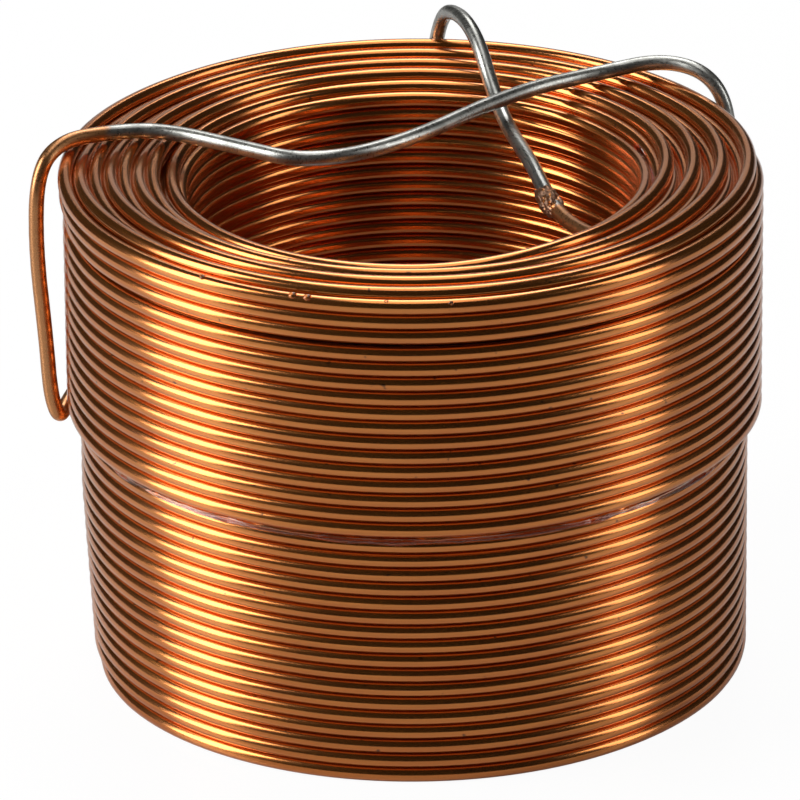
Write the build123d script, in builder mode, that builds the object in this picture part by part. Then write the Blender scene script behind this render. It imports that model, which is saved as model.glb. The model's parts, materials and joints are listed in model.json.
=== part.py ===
"""Air core inductor: a self-supporting coil of enamelled copper wire and its two leads.

The coil is wound in nine layers, each lying in the grooves of the one below it. A turn runs
level round the front and the back, and steps half a pitch up or down at the left and right,
where the layers also change. The origin is on the coil's axis at its base, +Z up the axis.
"""

from math import cos, radians, sin, sqrt, tan
import os

from build123d import *

# Driving dimensions, mm
bore_radius = 15.25
wire_diameter = 1.05  # 1.0 mm of copper with its enamel, and the pitch of the turns
layer_count = 9
height_in_turns = 34
outer_layer_turns = 16  # full turns of the last layer, which stops half way down
groove_depth = 0.36  # between neighbouring turns
land_depth = 0.08  # what is bored off the end turns of the post's seat, inside the coil
seat_turns = (0, 29)  # the bore's lowest turn, and the last one well clear of the start lead
crossover_half_angle = 30  # each side of the left and right
span_angle = 10  # of the straight spans that make up the turns
wire_sides = 10  # flats round a lead
bead_share = 0.6  # how far the varnish climbs each side of its groove
lump_radius = 0.9
lump_length = 1.9
root_bend_radius = 1.4  # where the finish lead is folded up off the coil
lump_bend_radius = 8  # where the start lead bends on each side of the solder lump

wire_radius = wire_diameter / 2
pitch = wire_diameter
layer_step = wire_diameter * sqrt(3) / 2
coil_height = height_in_turns * pitch
outer_layer = layer_count
full_layer = layer_count - 1
bore_turns = height_in_turns - 1


def centre_radius(layer):
    """Radius of a layer's wire centres, counting from 1 at the bore."""
    return bore_radius + wire_radius + (layer - 1) * layer_step


def crest_radius(layer):
    return centre_radius(layer) + wire_radius


def turns_down(layer, top, count):
    """Crests and grooves down a layer's outside, from the turn centred `top` pitches up."""
    points = [(crest_radius(layer), top * pitch)]
    for turn in range(1, count):
        points.append((crest_radius(layer) - groove_depth, (top - turn + 0.5) * pitch))
        points.append((crest_radius(layer), (top - turn) * pitch))
    return points


def turns_up_bore(bottom):
    """Crests and grooves up the first layer's inside, from the turn centred `bottom` pitches up."""
    points = []
    for turn in range(bore_turns):
        if turn:
            points.append((bore_radius + groove_depth, (bottom + turn - 0.5) * pitch))
        bored_off = land_depth if turn in seat_turns else 0
        points.append((bore_radius - bored_off, (bottom + turn) * pitch))
    return points


def between(start, end, share):
    """The point a share of the way along a straight edge, to match a point opposite."""
    return tuple(a + (b - a) * share for a, b in zip(start, end))


def between_twice(start, end):
    return between(start, end, 1 / 3), between(start, end, 2 / 3)


# Half sections of the coil as (radius, height), up the bore, over the top and down the outside.
# In front the even layers stand half a pitch higher, at the back the odd ones.
bore_foot = (centre_radius(1), 0)
front_bore = turns_up_bore(1)
front_rings = [
    (centre_radius(layer), coil_height - (layer % 2) * pitch / 2) for layer in range(1, outer_layer)
]
front_shoulder = (centre_radius(outer_layer) - 0.15, (height_in_turns - 0.6) * pitch)
front_outer = turns_down(outer_layer, height_in_turns - 1, outer_layer_turns)
front_lower = turns_down(full_layer, height_in_turns - outer_layer_turns - 0.5, 18)
front_foot = (centre_radius(full_layer), 0)

# The first layer starts in front, so its ring at the back lies a turn lower.
back_bore = turns_up_bore(0.5)
back_rings = [(centre_radius(1), (height_in_turns - 1) * pitch)] + [
    (centre_radius(layer), coil_height - ((layer + 1) % 2) * pitch / 2)
    for layer in range(2, outer_layer + 1)
]
back_outer = turns_down(outer_layer, height_in_turns - 0.5, outer_layer_turns + 1)
back_lower = turns_down(full_layer, height_in_turns - outer_layer_turns - 1, 17)
back_edge = (centre_radius(full_layer), pitch / 2)
back_foot = (centre_radius(full_layer - 1), 0)

front_section = [
    bore_foot, *front_bore, *front_rings, front_shoulder, *front_outer, *front_lower, front_foot
]
back_section = [
    bore_foot, *back_bore, *back_rings, *back_outer, *back_lower, back_edge, back_foot
]

# At the right each layer ends or begins: a high ring at the back comes forward one layer further
# in, the outer layer steps down half a pitch and the layer below it steps up.
right_front = [
    bore_foot, *front_bore, between(front_bore[-1], front_rings[0], 0.5), *front_rings,
    between(front_rings[-1], front_shoulder, 0.5), front_shoulder, *front_outer, *front_lower,
    front_foot, between(front_foot, bore_foot, 0.1),
]
right_back = [
    bore_foot, *back_bore, *back_rings, *back_outer,
    *between_twice(back_outer[-1], back_lower[0]), *back_lower, back_edge, back_foot,
]

# At the left the first layer's turns step down as they come forward and its lowest goes out to
# the second layer, and the last turn of all leaves as the finish lead.
left_front = [
    bore_foot, *between_twice(bore_foot, front_bore[0]), *front_bore, *front_rings,
    front_shoulder, *front_outer, *between_twice(front_outer[-1], front_lower[0]), *front_lower,
    front_foot,
]
left_back = [
    bore_foot, *back_bore, *between_twice(back_bore[-1], back_rings[0]), *back_rings,
    *back_outer, *back_lower, back_edge, between(back_edge, back_foot, 0.5), back_foot,
]


def upright_plane(angle):
    """The plane through the coil's axis at an angle from +X, x outwards and y up."""
    return Plane(
        origin=(0, 0, 0),
        x_dir=(cos(radians(angle)), sin(radians(angle)), 0),
        z_dir=(sin(radians(angle)), -cos(radians(angle)), 0),
    )


def flat_face(*corners):
    return Face(Wire.make_polygon(corners, close=True))


def stretch(start_angle, end_angle, start, end):
    """A solid round the axis whose section eases from start to end, in straight spans.

    Each corner runs to its own corner of the next section. Four corners lie in one plane where
    the section stays the same, and take two triangles where the turns step up or down.
    """
    spans = round((end_angle - start_angle) / span_angle)
    sections = []
    for i in range(spans + 1):
        share = i / spans
        eased = share * share * (3 - 2 * share)
        plane = upright_plane(start_angle + i * span_angle)
        points = [Vector(*between(a, b, eased)) for a, b in zip(start, end)]
        sections.append([plane.from_local_coords(point) for point in points])
    facets = [flat_face(*sections[0]), flat_face(*sections[-1])]
    for near, far in zip(sections, sections[1:]):
        for i in range(len(near)):
            if start == end:
                facets.append(flat_face(near[i - 1], near[i], far[i], far[i - 1]))
            else:
                facets.append(flat_face(near[i - 1], near[i], far[i]))
                facets.append(flat_face(near[i - 1], far[i], far[i - 1]))
    return Solid(Shell(facets))


back_start = crossover_half_angle
back_end = 180 - crossover_half_angle
front_start = 180 + crossover_half_angle
front_end = 360 - crossover_half_angle
stretches = [
    stretch(back_start, back_end, back_section, back_section),
    stretch(back_end, front_start, left_back, left_front),
    stretch(front_start, front_end, front_section, front_section),
    stretch(front_end, 360 + back_start, right_front, right_back),
]

# A post from below seats on the bore's turns up to the start lead. The end turns of that seat are
# bored to true round lands; a turn's crest is half a pitch higher in front than at the back.
with BuildPart() as winding:
    add(stretches)
    for turn in seat_turns:
        with Locations((0, 0, (turn + 0.75) * pitch)):
            Cylinder(bore_radius, pitch, mode=Mode.SUBTRACT)
winding.part.label = "winding"

# Clear varnish that bonds the end of the outer layer, along the groove under its last turn.
groove = front_lower[1]
bead_section = [
    groove, between(groove, front_lower[0], bead_share), between(groove, front_lower[2], bead_share)
]
bead = stretch(front_start, front_end, bead_section, bead_section)
with BuildPart() as bonding_varnish:
    add(bead)
bonding_varnish.part.label = "bonding_varnish"


# The leads, bent by hand. The finish lead leaves the outer layer's last turn at the left, rises,
# crosses the bore and hangs outside the rim at the back right.
finish_route = [
    (-22.2, 6.4, 18.4),
    (-24.5, 0.0, 17.0),
    (-25.9, 0.5, 30.4),
    (-25.3, 1.9, 36.5),
    (-18.0, 5.8, 36.4),
    (-5.9, -3.1, 36.4),
    (6.0, 9.4, 36.7),
    (12.7, 14.8, 36.3),
    (18.2, 14.9, 37.5),
    (21.8, 12.4, 34.9),
    (21.7, 12.5, 24.5),
]

# The start lead leaves the first layer's top turn inside the bore, passes under the finish lead
# and arches over the rim at the back.
start_route = [
    (12.4, -10.8, 34.6),
    (10.4, -6.3, 33.6),
    (8.7, -1.2, 34.0),
    (7.9, 3.0, 34.7),
    (5.8, 11.4, 34.5),
    (4.0, 17.8, 39.4),
    (1.1, 24.9, 37.2),
    (1.1, 24.8, 25.0),
]


def bend_radii(route, given):
    """As large a bend as its two runs allow at each corner, apart from the given ones."""
    radii = []
    for corner in range(1, len(route) - 1):
        before = Vector(route[corner]) - Vector(route[corner - 1])
        after = Vector(route[corner + 1]) - Vector(route[corner])
        half_turn = radians(before.get_angle(after)) / 2
        largest = 0.45 * min(before.length, after.length) / tan(half_turn)
        radii.append(given.get(corner, largest))
    return radii


def bent_wire(name, route, given):
    """A wire along straight runs and tangent bends, cut where it meets the coil."""
    radii = bend_radii(route, given)
    with BuildPart() as lead:
        with BuildLine() as path:
            FilletPolyline(route, radius=radii)
        with BuildSketch(Plane(origin=path.line @ 0, z_dir=path.line % 0)):
            RegularPolygon(wire_radius, wire_sides)
        section_area = lead.pending_faces[0].area
        sweep()
        full_volume = lead.part.volume
        add(winding.part, mode=Mode.SUBTRACT)
    lead.part.label = name
    swept_volume = section_area * path.wire().length
    print(name, "bend radii", [round(radius, 1) for radius in radii])
    print(name, "volume", round(full_volume, 2), "of", round(swept_volume, 2))
    print(name, "inside the coil", round(full_volume - lead.part.volume, 2))
    return lead


finish_lead = bent_wire("finish_lead", finish_route, {1: root_bend_radius})
start_lead = bent_wire("start_lead", start_route, {1: lump_bend_radius, 2: lump_bend_radius})

# A rough lump of solder where the start lead's tinning begins, on its second run.
lump_direction = (Vector(start_route[2]) - Vector(start_route[1])).normalized()
lump_middle = (Vector(start_route[1]) + Vector(start_route[2])) / 2
lump_side = lump_direction.cross(Vector(0, 0, 1)).normalized()
lump_plane = Plane(origin=lump_middle, x_dir=lump_side, z_dir=lump_side.cross(lump_direction))
with BuildPart() as solder_lump:
    with BuildSketch(lump_plane):
        with BuildLine():
            Polyline(
                (wire_radius, -lump_length / 2),
                (lump_radius - 0.1, -lump_length / 4),
                (lump_radius, lump_length / 5),
                (wire_radius, lump_length / 2),
                close=True,
            )
        make_face()
    revolve(axis=Axis(lump_middle, lump_direction))
solder_lump.part.label = "solder_lump"

os.makedirs("parts", exist_ok=True)
for piece in (winding, bonding_varnish, finish_lead, start_lead, solder_lump):
    name = piece.part.label
    export_step(piece.part, f"parts/{name}.step")
    print(name, piece.part.is_valid, len(piece.part.solids()), round(piece.part.volume, 2))
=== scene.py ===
"""Looks for an air core inductor: every turn of its wire, two leads, solder and varnish.

The wire is wound anticlockwise seen from above. A place along it is a number of half turns:
whole numbers are the middles of the back and front halves, and each half turn is level apart
from a short step at the left or right, where it climbs or sinks half a wire, or changes layer.
"""

import json
from math import cos, floor, pi, radians, sin, sqrt, tan

import bpy
from mathutils import Euler, Matrix, Vector, noise


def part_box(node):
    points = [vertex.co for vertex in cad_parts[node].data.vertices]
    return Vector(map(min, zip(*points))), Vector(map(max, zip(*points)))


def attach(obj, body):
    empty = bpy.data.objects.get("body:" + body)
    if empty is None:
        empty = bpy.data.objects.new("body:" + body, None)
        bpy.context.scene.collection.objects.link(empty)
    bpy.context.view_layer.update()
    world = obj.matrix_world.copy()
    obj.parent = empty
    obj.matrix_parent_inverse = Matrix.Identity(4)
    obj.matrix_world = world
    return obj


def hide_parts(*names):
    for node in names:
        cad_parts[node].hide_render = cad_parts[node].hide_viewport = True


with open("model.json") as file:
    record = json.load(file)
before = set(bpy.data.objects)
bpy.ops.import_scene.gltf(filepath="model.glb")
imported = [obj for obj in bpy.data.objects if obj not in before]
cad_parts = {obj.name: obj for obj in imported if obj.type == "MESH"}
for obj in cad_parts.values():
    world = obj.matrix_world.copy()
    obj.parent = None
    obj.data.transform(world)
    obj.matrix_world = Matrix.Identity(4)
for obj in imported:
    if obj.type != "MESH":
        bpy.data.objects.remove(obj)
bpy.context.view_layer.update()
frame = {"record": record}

bl_info = {
    "name": "Air core inductor",
    "version": (1, 0, 0),
    "blender": (4, 5, 0),
    "location": "3D View > Sidebar > Inductor",
    "description": "Builds the wire, leads, solder, varnish and studio of an air core inductor",
    "category": "Object",
}

MOUNTS = {mount["name"]: mount for mount in frame["record"]["mounts"]}
COIL_LOW, COIL_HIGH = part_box("winding")
LAYERS = 9
TURNS_HIGH = 34
HALVES_IN_LAYER = 2 * TURNS_HIGH - 1
LAST_HALF = 568  # where the ninth layer stops, half way down at the back
MM = 0.001


def smooth(share):
    share = min(max(share, 0.0), 1.0)
    return share * share * (3 - 2 * share)


# Sizes and colours that a user would change


class CoilSettings(bpy.types.PropertyGroup):
    wire: bpy.props.FloatProperty(
        name="Wire",
        description="Diameter of the wire over its enamel, which is also the pitch of its turns",
        default=(COIL_HIGH.z - COIL_LOW.z) / TURNS_HIGH,
        unit="LENGTH",
    )
    bore: bpy.props.FloatProperty(
        name="Bore",
        description="Radius of the open bore",
        default=MOUNTS["bore"]["dims"]["r_mm"] * MM,
        unit="LENGTH",
    )
    wander: bpy.props.FloatProperty(
        name="Wander",
        description="How far a turn strays from its even place",
        default=0.018 * MM,
        unit="LENGTH",
    )
    copper: bpy.props.FloatVectorProperty(
        name="Copper",
        description="Colour of the copper seen through its enamel",
        default=(0.76, 0.25, 0.036),
        subtype="COLOR",
    )
    tin: bpy.props.FloatVectorProperty(
        name="Tin",
        description="Colour of the tinned leads",
        default=(0.54, 0.54, 0.50),
        subtype="COLOR",
    )
    solder: bpy.props.FloatVectorProperty(
        name="Solder",
        description="Colour of the scorched lump of solder",
        default=(0.34, 0.20, 0.13),
        subtype="COLOR",
    )
    sunk: bpy.props.FloatProperty(
        name="Sunk",
        description="How far the second layer's last front turn sags into the bore",
        default=0.6,
        subtype="FACTOR",
    )


class StudioSettings(bpy.types.PropertyGroup):
    lens: bpy.props.FloatProperty(
        name="Lens",
        description="Focal length in millimetres",
        default=397.0,
    )
    distance: bpy.props.FloatProperty(
        name="Distance",
        description="From the camera to the coil's axis",
        default=0.605,
        unit="LENGTH",
    )
    height_angle: bpy.props.FloatProperty(
        name="Height angle",
        description="How far the camera looks down",
        default=radians(23.5),
        subtype="ANGLE",
    )
    roll: bpy.props.FloatProperty(
        name="Roll",
        description="Turn of the camera about its own line of sight",
        default=-0.008,
        subtype="ANGLE",
    )
    left: bpy.props.FloatProperty(
        name="Left softbox",
        description="Brightness of the left softbox, where 1 is white",
        default=5.6,
    )
    right: bpy.props.FloatProperty(
        name="Right softbox",
        description="Brightness of the right softbox, where 1 is white",
        default=2.7,
    )
    overhead: bpy.props.FloatProperty(
        name="Overhead panel",
        description="Brightness of the panel overhead, where 1 is white",
        default=2.4,
    )
    canopy: bpy.props.FloatProperty(
        name="Canopy",
        description="Brightness of the wide sheet above the panel, where 1 is white",
        default=1.5,
    )
    backdrop: bpy.props.FloatProperty(
        name="Backdrop",
        description="Brightness of the sheet behind the coil, where 1 is white",
        default=0.35,
    )
    room: bpy.props.FloatProperty(
        name="Room",
        description="Brightness of the dark room round the lamps, where 1 is white",
        default=0.012,
    )


# The route of the wire


def place_of_half(half):
    """Layer and height in wires at the middle of a half turn."""
    layer = half // HALVES_IN_LAYER + 1
    step = half % HALVES_IN_LAYER
    if layer % 2:
        return layer, TURNS_HIGH - 0.5 - step / 2
    return layer, 0.5 + step / 2


def rise_and_fall(value, start, full, end, gone):
    """0 up to start, 1 from full to end, and 0 again past gone."""
    return smooth((value - start) / (full - start)) * smooth((gone - value) / (gone - end))


# How far hand winding has pushed the turns off their even places, in wires and rows of wire
LIFTED_FROM_ROW = 30
FRONT_LIFT = 0.2
BACK_LIFT, BACK_LIFT_OUTWARDS = 0.05, 0.1
LOWEST_OUTER_ROW = 17.2
RIGHT_BULGE = 0.18
LEFT_BULGE, LEFT_BULGE_AT_TOP, BULGING_TOP_ROW = 0.25, 0.25, 31.5
LOWER_BULGE_PER_ROW, STRAIGHT_ROW, LOWER_BULGE = 0.07, 7, 0.35
SAGGING_TURN = (132.3, 132.6, 133.0, 133.25)  # no turn of the first layer holds it up there
SAG_INWARDS = 0.75  # for each wire that it drops

# The noise that the turns wander by: its scale round the coil, and along the axis against that,
# how far apart two layers read it, and where the height reads it
WANDER_SCALE = 1.7
WANDER_ALONG_AXIS = 0.37
WANDER_BETWEEN_LAYERS = 11.3
WANDER_OF_HEIGHT = Vector((5, 9, 2))


def lift(layer, height, angle):
    """How far the top turns are pushed up, in wires: most in front, in the outer layers."""
    near_top = smooth(height - LIFTED_FROM_ROW)
    in_front = smooth(0.5 - 1.2 * sin(angle))
    at_back = smooth(0.5 + 1.2 * sin(angle))
    outer = smooth((layer - 4) / 2)
    back_lift = BACK_LIFT + BACK_LIFT_OUTWARDS * layer / LAYERS
    return near_top * (FRONT_LIFT * outer * in_front + back_lift * at_back)


def bulge(layer, height, angle):
    """How far the turns stand out where they step up or down, in wires."""
    towards_right = max(cos(angle), 0) ** 6
    towards_left = max(-cos(angle), 0) ** 6
    if height > LOWEST_OUTER_ROW:
        left = LEFT_BULGE + LEFT_BULGE_AT_TOP * smooth(height - BULGING_TOP_ROW)
    else:
        left = min(LOWER_BULGE_PER_ROW * (height - STRAIGHT_ROW), LOWER_BULGE)
    return (layer / LAYERS) ** 2 * (RIGHT_BULGE * towards_right + left * towards_left)


def wire_point(halves, settings):
    """Where the wire's centre is, a number of half turns along it."""
    half = floor(halves)
    change = smooth((halves - half) * 3 - 1)
    layer, height = place_of_half(half)
    next_layer, next_height = place_of_half(half + 1)
    layer += (next_layer - layer) * change
    height += (next_height - height) * change
    angle = pi / 2 + pi * halves
    sag = settings.sunk * rise_and_fall(halves, *SAGGING_TURN)
    radius = settings.bore + settings.wire * (0.5 + (layer - 1) * sqrt(3) / 2)
    radius += settings.wire * (bulge(layer, height, angle) - SAG_INWARDS * sag)
    height += lift(layer, height, angle) - sag
    where = Vector((cos(angle), sin(angle), height * WANDER_ALONG_AXIS)) * WANDER_SCALE
    where += Vector((0, 0, WANDER_BETWEEN_LAYERS * layer))
    radius += settings.wander * noise.noise(where)
    level = height * settings.wire + settings.wander * noise.noise(where + WANDER_OF_HEIGHT)
    return Vector((radius * cos(angle), radius * sin(angle), level))


def run_of_wire(first, last, per_turn, settings):
    """Points along the wire between two places."""
    count = max(int((last - first) / 2 * per_turn), 2)
    return [wire_point(first + (last - first) * i / count, settings) for i in range(count + 1)]


def around_layer_change(layer, before, after):
    """The stretch of wire round the end of a layer, in half turns."""
    end = layer * HALVES_IN_LAYER
    return end - before, end + after


# The stretches that can be seen. Each layer change shows for some half turns before and after it.
START_HALF = 1.27  # the wire starts in front of the right
TOP_CHANGES = (2, 4, 6)
FOOT_CHANGES = (3, 5)
BORE_RUNS = [(START_HALF, around_layer_change(1, 0, 4)[1])]
TOP_RUNS = [around_layer_change(layer, 6, 5) for layer in TOP_CHANGES]
FOOT_RUNS = [around_layer_change(layer, 5, 4) for layer in FOOT_CHANGES]
LOWER_RUNS = [around_layer_change(7, 5, 39)]
OUTER_RUNS = [(around_layer_change(8, 6, 0)[0], LAST_HALF + 0.41)]


def hidden_runs():
    """What lies between the stretches that can be seen."""
    seen = sorted(BORE_RUNS + TOP_RUNS + FOOT_RUNS + LOWER_RUNS + OUTER_RUNS)
    return [(before[1], after[0]) for before, after in zip(seen, seen[1:])]


# Making tubes


def deselect_all():
    bpy.ops.object.select_all(action="DESELECT")


def new_curve(name, radius, rings):
    curve = bpy.data.curves.new(name, "CURVE")
    curve.dimensions = "3D"
    curve.twist_mode = "Z_UP"
    curve.bevel_depth = radius
    curve.bevel_resolution = rings
    curve.use_fill_caps = True
    return curve


def make_tube(name, routes, radius, rings, kind="POLY"):
    """Round wires along routes of points, as one mesh."""
    curve = new_curve(name, radius, rings)
    curve.resolution_u = 12
    for route in routes:
        spline = curve.splines.new(kind)
        spline.points.add(len(route) - 1)
        for point, place in zip(spline.points, route):
            point.co = (*place, 1)
        if kind == "NURBS":
            spline.order_u = 3
            spline.use_endpoint_u = True
    return convert_to_mesh(name, curve)


def convert_to_mesh(name, curve):
    piece = bpy.data.objects.new(name, curve)
    bpy.context.scene.collection.objects.link(piece)
    deselect_all()
    piece.select_set(True)
    bpy.context.view_layer.objects.active = piece
    bpy.ops.object.convert(target="MESH")
    piece = bpy.context.view_layer.objects.active
    bpy.ops.object.shade_smooth()
    return piece


def finish_piece(piece, material, node):
    piece.data.materials.clear()
    piece.data.materials.append(material)
    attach(piece, "root")
    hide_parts(node)


# Finishes


def new_material(name):
    material = bpy.data.materials.new(name)
    material.use_nodes = True
    nodes = material.node_tree.nodes
    nodes.clear()
    out = nodes.new("ShaderNodeOutputMaterial")
    shader = nodes.new("ShaderNodeBsdfPrincipled")
    material.node_tree.links.new(shader.outputs["BSDF"], out.inputs["Surface"])
    return material, shader


def add_node(material, kind, **values):
    """A node of the material, with the values of its inputs and its other settings."""
    node = material.node_tree.nodes.new(kind)
    for name, value in values.items():
        socket = node.inputs.get(name.replace("_", " ").title())
        if socket is None:
            setattr(node, name, value)
        else:
            socket.default_value = value
    return node


def link(material, start, end):
    material.node_tree.links.new(start, end)


def along_the_wire(material, along, across):
    """Coordinates for a pattern that is long round the coil and fine across each turn."""
    place = add_node(material, "ShaderNodeTexCoord").outputs["Object"]
    scaled = add_node(material, "ShaderNodeMapping", scale=(along, along, across))
    link(material, place, scaled.inputs["Vector"])
    flat = add_node(material, "ShaderNodeMapping", scale=(across, across, 0))
    link(material, place, flat.inputs["Vector"])
    out_from_axis = add_node(material, "ShaderNodeVectorMath", operation="LENGTH")
    link(material, flat.outputs[0], out_from_axis.inputs[0])
    return scaled.outputs[0], out_from_axis.outputs["Value"]


def noise_pattern(material, coordinates, scale, detail=2.0):
    vector, fourth = coordinates
    pattern = add_node(
        material, "ShaderNodeTexNoise", noise_dimensions="4D", scale=scale, detail=detail
    )
    link(material, vector, pattern.inputs["Vector"])
    link(material, fourth, pattern.inputs["W"])
    return pattern.outputs["Fac"]


def ramp(material, value, low, high, start=0.0, end=1.0):
    """Spreads what lies between low and high over start to end."""
    node = add_node(material, "ShaderNodeMapRange", interpolation_type="SMOOTHSTEP")
    for name, number in zip(("From Min", "From Max", "To Min", "To Max"), (low, high, start, end)):
        node.inputs[name].default_value = number
    link(material, value, node.inputs["Value"])
    return node.outputs["Result"]


def blend_colours(material, share, first, second):
    """A mix of two colours, each a fixed one or the output of a node."""
    node = add_node(material, "ShaderNodeMix", data_type="RGBA")
    link(material, share, node.inputs["Factor"])
    for colour, socket in ((first, node.inputs["A"]), (second, node.inputs["B"])):
        if isinstance(colour, bpy.types.NodeSocket):
            link(material, colour, socket)
        else:
            socket.default_value = (*colour, 1)
    return node.outputs["Result"]


def shaded(colour, by):
    return tuple(channel * by for channel in colour)


def tinted(colour, tint):
    return tuple(channel * by for channel, by in zip(colour, tint))


def wire_texture(material, shader, colour, darker, smoothest, roughest):
    """Blotches, fine drawing lines and a few dark specks, all along the wire."""
    blotches = noise_pattern(material, along_the_wire(material, 160, 500), 1.0)
    lines = noise_pattern(material, along_the_wire(material, 130, 8000), 1.0, 2.0)
    specks = noise_pattern(material, along_the_wire(material, 1900, 1900), 1.0, 1.0)
    mottled = blend_colours(material, ramp(material, blotches, 0.35, 0.65), darker, colour)
    spotted = blend_colours(
        material, ramp(material, specks, 0.72, 0.78), mottled, shaded(darker, 0.25)
    )
    roughness = ramp(material, lines, 0.3, 0.7, smoothest, roughest)
    link(material, roughness, shader.inputs["Roughness"])
    bump = add_node(material, "ShaderNodeBump", strength=0.6, distance=0.008 * MM)
    link(material, lines, bump.inputs["Height"])
    link(material, bump.outputs["Normal"], shader.inputs["Normal"])
    return spotted


def copper_finish(settings):
    """Copper under clear amber enamel."""
    material, shader = new_material("enamelled_copper")
    darker = tinted(settings.copper, (0.93, 0.86, 0.8))
    colour = wire_texture(material, shader, tuple(settings.copper), darker, 0.16, 0.22)
    link(material, colour, shader.inputs["Base Color"])
    shader.inputs["Metallic"].default_value = 0.94
    shader.inputs["Specular IOR Level"].default_value = 0
    shader.inputs["Coat Weight"].default_value = 1
    shader.inputs["Coat Roughness"].default_value = 0.2
    shader.inputs["Coat IOR"].default_value = 1.55
    return material


def lead_finish(name, settings, axis, tinned_from):
    """Pale enamelled copper near the coil, and tin past a place along one axis."""
    material, shader = new_material(name)
    copper = tinted(settings.copper, (0.8, 1.1, 3))
    tin = wire_texture(
        material, shader, tuple(settings.tin), shaded(settings.tin, 0.62), 0.26, 0.4
    )
    place = add_node(material, "ShaderNodeTexCoord").outputs["Object"]
    parts = add_node(material, "ShaderNodeSeparateXYZ")
    link(material, place, parts.inputs[0])
    ragged = noise_pattern(material, along_the_wire(material, 900, 900), 1.0)
    wander = add_node(material, "ShaderNodeMath", operation="MULTIPLY_ADD")
    link(material, ragged, wander.inputs[0])
    wander.inputs[1].default_value = TINNING_EDGE
    link(material, parts.outputs[axis], wander.inputs[2])
    tinned = ramp(material, wander.outputs[0], tinned_from, tinned_from + TINNING_EDGE)
    link(material, blend_colours(material, tinned, copper, tin), shader.inputs["Base Color"])
    shader.inputs["Metallic"].default_value = 0.92
    shader.inputs["Coat Weight"].default_value = 0.3
    shader.inputs["Coat Roughness"].default_value = 0.2
    return material


def solder_finish(settings):
    material, shader = new_material("scorched_solder")
    grains = noise_pattern(material, along_the_wire(material, 2600, 2600), 1.0, 3.0)
    covered = ramp(material, grains, 0.28, 0.5)
    colour = blend_colours(material, covered, tuple(settings.copper), tuple(settings.solder))
    link(material, colour, shader.inputs["Base Color"])
    link(material, ramp(material, grains, 0.3, 0.7, 0.3, 0.6), shader.inputs["Roughness"])
    bump = add_node(material, "ShaderNodeBump", strength=0.6, distance=0.06 * MM)
    link(material, grains, bump.inputs["Height"])
    link(material, bump.outputs["Normal"], shader.inputs["Normal"])
    shader.inputs["Metallic"].default_value = 1
    return material


def varnish_finish():
    """Clear varnish, a little cloudy, with ripples."""
    material, shader = new_material("clear_varnish")
    cloud = noise_pattern(material, along_the_wire(material, 500, 1500), 1.0)
    colour = blend_colours(material, cloud, (0.99, 0.94, 0.90), (0.90, 0.82, 0.76))
    link(material, colour, shader.inputs["Base Color"])
    link(material, ramp(material, cloud, 0.3, 0.7, 0.04, 0.2), shader.inputs["Roughness"])
    bump = add_node(material, "ShaderNodeBump", strength=0.5, distance=0.05 * MM)
    link(material, cloud, bump.inputs["Height"])
    link(material, bump.outputs["Normal"], shader.inputs["Normal"])
    shader.inputs["Transmission Weight"].default_value = 1
    shader.inputs["IOR"].default_value = 1.48
    return material


# The operators, one for each group of pieces


class OBJECT_OT_coil_winding(bpy.types.Operator):
    """Wind the coil: the turns that can be seen, and plainer ones inside"""

    bl_idname = "object.coil_winding"
    bl_label = "Winding"

    def execute(self, context):
        settings = context.scene.coil
        copper = copper_finish(settings)
        for name, runs, per_turn, rings in (
            ("outer_turns", OUTER_RUNS, 144, 6),
            ("lower_turns", LOWER_RUNS, 144, 6),
            ("top_turns", TOP_RUNS, 144, 6),
            ("bore_turns", BORE_RUNS, 96, 4),
            ("foot_turns", FOOT_RUNS, 96, 4),
            ("inner_turns", hidden_runs(), 36, 1),
        ):
            routes = [run_of_wire(*run, per_turn, settings) for run in runs]
            piece = make_tube(name, routes, settings.wire / 2, rings)
            finish_piece(piece, copper, "winding")
        return {"FINISHED"}


# The leads' routes, mm, and where along one axis their tinning starts, mm
FINISH_ROUTE = [
    (-22.2, 6.4, 18.4), (-23.9, 2.4, 17.5), (-24.35, 0.1, 17.0), (-24.95, 0.1, 18.6),
    (-25.2, 0.3, 23.0), (-25.75, 0.5, 29.5), (-25.55, 1.0, 34.9), (-24.0, 2.9, 36.4),
    (-20.9, 4.4, 36.4), (-17.2, 4.9, 36.4), (-12.0, 1.7, 36.4), (-7.2, -1.4, 36.4),
    (-1.0, 1.6, 36.4), (7.0, 10.6, 36.7), (12.9, 14.8, 36.4), (17.3, 15.3, 37.2),
    (20.6, 13.3, 36.9), (22.0, 12.5, 34.0), (21.75, 12.5, 28.0), (21.7, 12.5, 24.5),
]
START_ROUTE = [
    (12.4, -10.8, 34.6), (10.4, -6.3, 33.6), (8.9, -1.2, 34.1), (8.1, 2.6, 34.6),
    (6.0, 11.6, 34.6), (4.1, 17.6, 39.7), (1.3, 24.9, 37.4), (1.1, 24.8, 25.0),
]
LEADS = (("finish_lead", FINISH_ROUTE, "X", -20.8), ("start_lead", START_ROUTE, "Y", -4.0))
TINNING_EDGE = 0.7 * MM  # how wide and ragged the edge of the tinning is


class OBJECT_OT_coil_leads(bpy.types.Operator):
    """Bend the two leads"""

    bl_idname = "object.coil_leads"
    bl_label = "Leads"

    def execute(self, context):
        settings = context.scene.coil
        for name, route, axis, tinned_from in LEADS:
            points = [Vector(point) * MM for point in route]
            piece = make_tube(name + "_wire", [points], settings.wire / 2, 6, "NURBS")
            finish = lead_finish(name + "_tinning", settings, axis, tinned_from * MM)
            finish_piece(piece, finish, name)
        return {"FINISHED"}


LUMP_MIDDLE = Vector((9.15, -2.7, 33.95)) * MM
LUMP_DIRECTION = Vector((-1.7, 5.1, 0.4)).normalized()
LUMP_SIZE = Vector((0.78, 0.8, 1.8)) * MM


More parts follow.
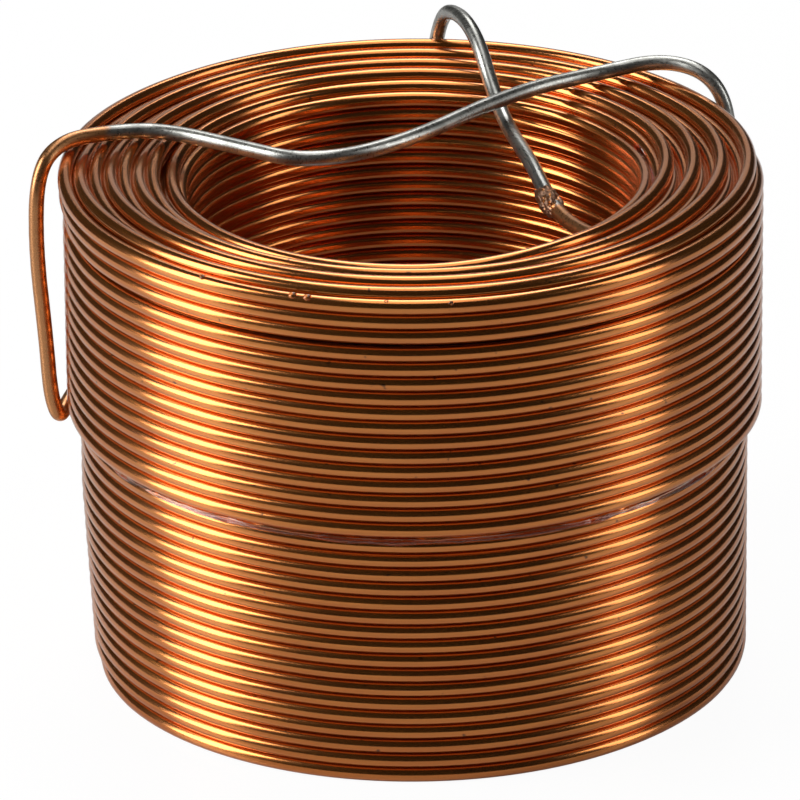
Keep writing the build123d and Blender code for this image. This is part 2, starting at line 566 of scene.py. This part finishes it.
class OBJECT_OT_coil_solder(bpy.types.Operator):
    """Drop the lump of solder on the start lead"""

    bl_idname = "object.coil_solder"
    bl_label = "Solder lump"

    def execute(self, context):
        deselect_all()
        bpy.ops.mesh.primitive_ico_sphere_add(subdivisions=5, radius=1.0)
        lump = context.active_object
        lump.name = "solder_lump_skin"
        turn = LUMP_DIRECTION.to_track_quat("Z", "Y").to_matrix()
        for vertex in lump.data.vertices:
            crumple = 0.2 * noise.noise(vertex.co * 1.6) + 0.16 * noise.noise(vertex.co * 4.1)
            crease = 0.1 * abs(noise.noise(vertex.co * 7.3))
            place = vertex.co * (1 + crumple - crease)
            vertex.co = LUMP_MIDDLE + turn @ Vector(a * b for a, b in zip(place, LUMP_SIZE))
        bpy.ops.object.shade_smooth()
        finish_piece(lump, solder_finish(context.scene.coil), "solder_lump")
        return {"FINISHED"}


class OBJECT_OT_coil_varnish(bpy.types.Operator):
    """Run the bead of clear varnish under the last turn, and the drops on the top turn"""

    bl_idname = "object.coil_varnish"
    bl_label = "Varnish"

    def execute(self, context):
        settings = context.scene.coil
        varnish = varnish_finish()
        piece = make_beads("varnish_bead")
        finish_piece(piece, varnish, "bonding_varnish")
        piece = make_drops("varnish_drops", settings)
        finish_piece(piece, varnish, "bonding_varnish")
        return {"FINISHED"}


# Each bead: from and to in degrees round the axis, radius and height of its middle, and size, mm
VARNISH_BEADS = (
    (206, 334, 22.55, 17.85, 0.30),
    (204, 336, 22.98, 17.98, 0.17),
    (-12, 24, 16.25, 34.55, 0.40),
)
BEAD_POINTS = 2  # in a degree
BEAD_TAPER = 12  # points at each end

# Each drop: its place along the wire, how far round the wire it sits in degrees, and size, mm
VARNISH_DROPS = (
    (536.796, 62, 0.22),
    (536.889, 60, 0.26),
    (536.903, 58, 0.25),
    (536.975, 70, 0.12),
    (537.033, 48, 0.14),
    (533.03, 60, 0.12),
)
DROP_SHAPE = (1.15, 1, 0.55)  # along the wire, across it and out of it, against the drop's size


def make_beads(name):
    """Uneven beads of varnish along the grooves."""
    curve = new_curve(name, 1.0, 3)
    for start, end, radius, height, size in VARNISH_BEADS:
        count = int(end - start) * BEAD_POINTS
        spline = curve.splines.new("POLY")
        spline.points.add(count)
        for i, point in enumerate(spline.points):
            angle = radians(start + (end - start) * i / count)
            along = Vector((cos(angle), sin(angle), 0)) * radius
            swell = 0.75 + 0.9 * noise.noise(along * 0.35 + Vector((0, 0, height)))
            taper = min(1.0, i / BEAD_TAPER, (count - i) / BEAD_TAPER)
            place = along + Vector((0, 0, height + 0.05 * noise.noise(along * 0.8)))
            point.co = (*(place * MM), 1)
            point.radius = max(size * swell * taper, 0.03) * MM
    return convert_to_mesh(name, curve)


def make_drops(name, settings):
    """Flattened drops of varnish on the top turn."""
    drops = []
    for halves, around, size in VARNISH_DROPS:
        middle = wire_point(halves, settings)
        out = Vector((middle.x, middle.y, 0)).normalized()
        rise = radians(around)
        up = out * cos(rise) + Vector((0, 0, sin(rise)))
        deselect_all()
        bpy.ops.mesh.primitive_uv_sphere_add(segments=20, ring_count=12, radius=1.0)
        drop = bpy.context.active_object
        along = up.cross(Vector((0, 0, 1))).normalized()
        frame_of_drop = Matrix((along, up.cross(along), up)).transposed()
        for vertex in drop.data.vertices:
            local = Vector(tinted(vertex.co, DROP_SHAPE)) * size * MM
            vertex.co = middle + up * settings.wire / 2 + frame_of_drop @ local
        drops.append(drop)
    deselect_all()
    for drop in drops:
        drop.select_set(True)
    bpy.context.view_layer.objects.active = drops[0]
    bpy.ops.object.join()
    bpy.ops.object.shade_smooth()
    piece = bpy.context.active_object
    piece.name = name
    return piece


class SCENE_OT_coil_studio(bpy.types.Operator):
    """Set the floor, the lamps and the camera"""

    bl_idname = "scene.coil_studio"
    bl_label = "Studio"

    def execute(self, context):
        studio = context.scene.studio
        make_floor()
        make_world(studio)
        make_lamps(studio)
        make_camera(studio)
        context.scene.view_settings.view_transform = "Standard"
        return {"FINISHED"}


FLOOR_SHINE = 0.12
FLOOR_GLOW = 1.04
SEEN_GLOW = 0.92  # the share of glow that the camera sees, the rest being the lit sheet
REFLECTED_GLOW = 0.08  # the share of it that reflections see


def make_floor():
    """A satin white sheet, which the camera sees nearly evenly lit."""
    deselect_all()
    bpy.ops.mesh.primitive_plane_add(size=4.0, location=(0, 0, 0))
    sheet = bpy.context.active_object
    sheet.name = "studio_floor"
    material = bpy.data.materials.new("white_floor")
    material.use_nodes = True
    material.node_tree.nodes.clear()
    out = add_node(material, "ShaderNodeOutputMaterial")
    paint = add_node(material, "ShaderNodeBsdfDiffuse", color=(0.8, 0.8, 0.8, 1))
    sheen = add_node(material, "ShaderNodeBsdfGlossy", color=(1, 1, 1, 1), roughness=0.25)
    satin = add_node(material, "ShaderNodeMixShader")
    satin.inputs["Fac"].default_value = FLOOR_SHINE
    link(material, paint.outputs[0], satin.inputs[1])
    link(material, sheen.outputs[0], satin.inputs[2])
    glow = add_node(
        material, "ShaderNodeEmission", color=(1, 1, 1, 1), strength=FLOOR_GLOW
    )
    path = add_node(material, "ShaderNodeLightPath")
    by_camera = add_node(material, "ShaderNodeMath", operation="MULTIPLY")
    by_camera.inputs[1].default_value = SEEN_GLOW
    share = add_node(material, "ShaderNodeMath", operation="MULTIPLY_ADD")
    share.inputs[1].default_value = REFLECTED_GLOW
    seen = add_node(material, "ShaderNodeMixShader")
    link(material, path.outputs["Is Camera Ray"], by_camera.inputs[0])
    link(material, path.outputs["Is Glossy Ray"], share.inputs[0])
    link(material, by_camera.outputs[0], share.inputs[2])
    link(material, share.outputs[0], seen.inputs["Fac"])
    link(material, satin.outputs[0], seen.inputs[1])
    link(material, glow.outputs[0], seen.inputs[2])
    link(material, seen.outputs[0], out.inputs["Surface"])
    sheet.data.materials.append(material)


def make_world(studio):
    """White where the camera looks past the floor, and a dark room for everything else."""
    world = bpy.data.worlds.new("studio")
    bpy.context.scene.world = world
    world.use_nodes = True
    tree = world.node_tree
    tree.nodes.clear()
    out = tree.nodes.new("ShaderNodeOutputWorld")
    seen = tree.nodes.new("ShaderNodeBackground")
    seen.inputs["Color"].default_value = (1, 1, 1, 1)
    lit = tree.nodes.new("ShaderNodeBackground")
    lit.inputs["Color"].default_value = (studio.room, studio.room, studio.room, 1)
    path = tree.nodes.new("ShaderNodeLightPath")
    mix = tree.nodes.new("ShaderNodeMixShader")
    tree.links.new(path.outputs["Is Camera Ray"], mix.inputs["Fac"])
    tree.links.new(lit.outputs[0], mix.inputs[1])
    tree.links.new(seen.outputs[0], mix.inputs[2])
    tree.links.new(mix.outputs[0], out.inputs["Surface"])


def make_softbox(name, brightness, distance, azimuth, elevation, half_width, half_height):
    """A panel that faces the coil, given by the angles, in degrees, that it fills there.

    The azimuth is 0 in front, 90 at the right and 180 behind.
    """
    round_axis, up = radians(azimuth), radians(elevation)
    towards = Vector((sin(round_axis) * cos(up), -cos(round_axis) * cos(up), sin(up)))
    light = bpy.data.lights.new(name, "AREA")
    light.shape = "RECTANGLE"
    light.size = 2 * distance * tan(radians(half_width))
    light.size_y = 2 * distance * tan(radians(half_height))
    light.energy = brightness * pi * light.size * light.size_y
    lamp = bpy.data.objects.new(name, light)
    lamp.location = Vector((0, 0, COIL_HIGH.z / 2)) + towards * distance
    lamp.rotation_euler = towards.to_track_quat("Z", "Y").to_euler()
    lamp.visible_camera = False
    bpy.context.scene.collection.objects.link(lamp)


def make_lamps(studio):
    make_softbox("left_softbox", studio.left, 0.6, -79, 26, 13.5, 24)
    make_softbox("right_softbox", studio.right, 0.6, 76.5, 24, 8, 21)
    make_softbox("overhead_panel", studio.overhead, 0.65, 180, 50, 11, 15)
    make_softbox("canopy", studio.canopy, 0.75, 180, 70, 12, 32)
    make_softbox("backdrop_sheet", studio.backdrop, 1.2, 180, 14, 12, 13)


CAMERA_SHIFT = (-0.0188, 0.0066)  # the coil's place in the picture, in picture widths


def make_camera(studio):
    data = bpy.data.cameras.new("camera")
    data.lens = studio.lens
    data.sensor_width = 36
    data.shift_x, data.shift_y = CAMERA_SHIFT
    data.clip_start = 0.01
    camera = bpy.data.objects.new("camera", data)
    aim = Vector((0, 0, TURNS_HIGH / 2 * bpy.context.scene.coil.wire))
    down = studio.height_angle
    camera.location = aim + studio.distance * Vector((0, -cos(down), sin(down)))
    turn = Euler((pi / 2 - down, 0, 0)).to_matrix() @ Matrix.Rotation(studio.roll, 3, "Z")
    camera.rotation_euler = turn.to_euler()
    bpy.context.scene.collection.objects.link(camera)
    bpy.context.scene.camera = camera


OPERATORS = (
    OBJECT_OT_coil_winding,
    OBJECT_OT_coil_leads,
    OBJECT_OT_coil_solder,
    OBJECT_OT_coil_varnish,
    SCENE_OT_coil_studio,
)


class VIEW3D_PT_coil(bpy.types.Panel):
    """Lists the operators that build the inductor"""

    bl_idname = "VIEW3D_PT_coil"
    bl_label = "Air core inductor"
    bl_space_type = "VIEW_3D"
    bl_region_type = "UI"
    bl_category = "Inductor"

    def draw(self, context):
        for operator in OPERATORS:
            self.layout.operator(operator.bl_idname)


CLASSES = (CoilSettings, StudioSettings, *OPERATORS, VIEW3D_PT_coil)


def register():
    for part in CLASSES:
        bpy.utils.register_class(part)
    bpy.types.Scene.coil = bpy.props.PointerProperty(type=CoilSettings)
    bpy.types.Scene.studio = bpy.props.PointerProperty(type=StudioSettings)


def unregister():
    del bpy.types.Scene.studio
    del bpy.types.Scene.coil
    for part in reversed(CLASSES):
        bpy.utils.unregister_class(part)


def main():
    register()
    bpy.ops.object.coil_winding()
    bpy.ops.object.coil_leads()
    bpy.ops.object.coil_solder()
    bpy.ops.object.coil_varnish()
    bpy.ops.scene.coil_studio()


if __name__ == "__main__":
    main()
